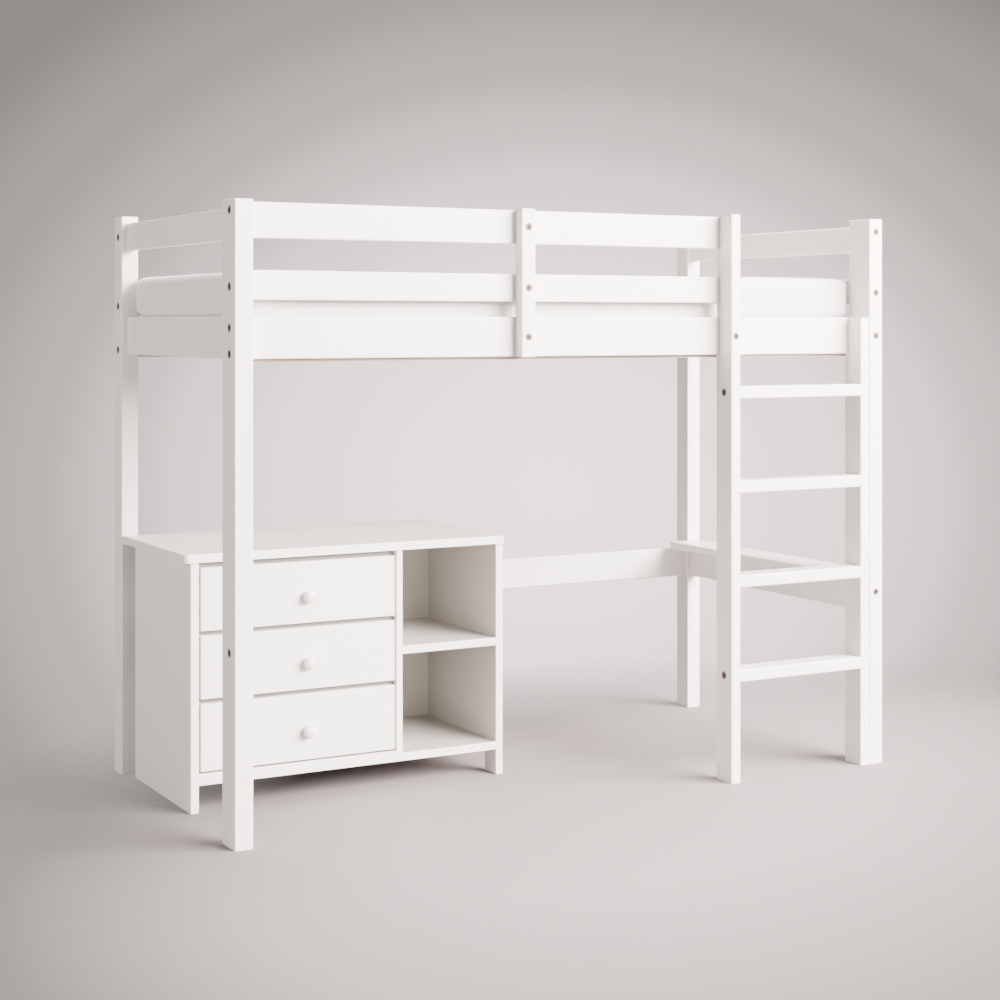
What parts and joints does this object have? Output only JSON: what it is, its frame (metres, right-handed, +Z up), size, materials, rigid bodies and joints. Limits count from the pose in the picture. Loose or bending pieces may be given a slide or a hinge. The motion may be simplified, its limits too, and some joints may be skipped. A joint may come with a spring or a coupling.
{
  "type": "loft bed",
  "caption": "Painted wooden loft bed with guard rails, a mattress on slats, a fixed ladder with flat rungs, and a chest of sliding drawers and open bays standing under one half.",
  "frame": {"origin": "on the floor, under the middle of the bed's outline", "axes": "+X along the bed towards the ladder end, +Y from the ladder side to the wall side, +Z up"},
  "size_m": [2.114, 1.054, 1.683],
  "materials": {
    "white_paint": "satin paint",
    "bare_pine": "matte",
    "mattress_cover": "matte",
    "bolt_steel": "satin"
  },
  "bodies": {
    "frame": {"back_bed_rail": "white_paint", "back_left_post": "white_paint", "back_lower_rail": "white_paint", "back_right_post": "white_paint", "back_stop_rail": "white_paint", "barrel_nuts": "bolt_steel", "bed_slats": "bare_pine", "chest_back_panel": "white_paint", "chest_base_rail": "white_paint", "chest_bottom": "white_paint", "chest_divider_panel": "white_paint", "chest_drawer_rails": "white_paint", "chest_left_side": "white_paint", "chest_right_side": "white_paint", "chest_shelf": "white_paint", "chest_top": "white_paint", "drawer_runners": "bare_pine", "end_ledge": "white_paint", "frame_bolts": "bolt_steel", "front_bed_rail": "white_paint", "front_guard_rail_lower": "white_paint", "front_guard_rail_upper": "white_paint", "front_left_post": "white_paint", "front_right_post": "white_paint", "guard_post": "white_paint", "guard_screws": "bolt_steel", "ladder_rung_1": "white_paint", "ladder_rung_2": "white_paint", "ladder_rung_3": "white_paint", "ladder_rung_4": "white_paint", "ladder_stile_left": "white_paint", "ladder_stile_right": "white_paint", "left_end_bed_rail": "white_paint", "left_end_guard_rail": "white_paint", "mattress": "mattress_cover", "right_end_bed_rail": "white_paint", "right_end_guard_rail_lower": "white_paint", "right_end_guard_rail_upper": "white_paint", "right_end_lower_rail": "white_paint", "slat_batten_back": "bare_pine", "slat_batten_front": "bare_pine"},
    "upper_drawer": {"upper_drawer_back": "bare_pine", "upper_drawer_bottom_panel": "bare_pine", "upper_drawer_front": "white_paint", "upper_drawer_knob": "white_paint", "upper_drawer_left_side": "bare_pine", "upper_drawer_right_side": "bare_pine"},
    "middle_drawer": {"middle_drawer_back": "bare_pine", "middle_drawer_bottom_panel": "bare_pine", "middle_drawer_front": "white_paint", "middle_drawer_knob": "white_paint", "middle_drawer_left_side": "bare_pine", "middle_drawer_right_side": "bare_pine"},
    "lower_drawer": {"lower_drawer_back": "bare_pine", "lower_drawer_bottom_panel": "bare_pine", "lower_drawer_front": "white_paint", "lower_drawer_knob": "white_paint", "lower_drawer_left_side": "bare_pine", "lower_drawer_right_side": "bare_pine"}
  },
  "joints": [
    {"name": "upper_drawer_slide", "type": "slide", "parent": "frame", "child": "upper_drawer", "axis": [0, -1, 0], "range_m": [0, 0.3]},
    {"name": "middle_drawer_slide", "type": "slide", "parent": "frame", "child": "middle_drawer", "axis": [0, -1, 0], "range_m": [0, 0.3]},
    {"name": "lower_drawer_slide", "type": "slide", "parent": "frame", "child": "lower_drawer", "axis": [0, -1, 0], "range_m": [0, 0.3]}
  ]
}
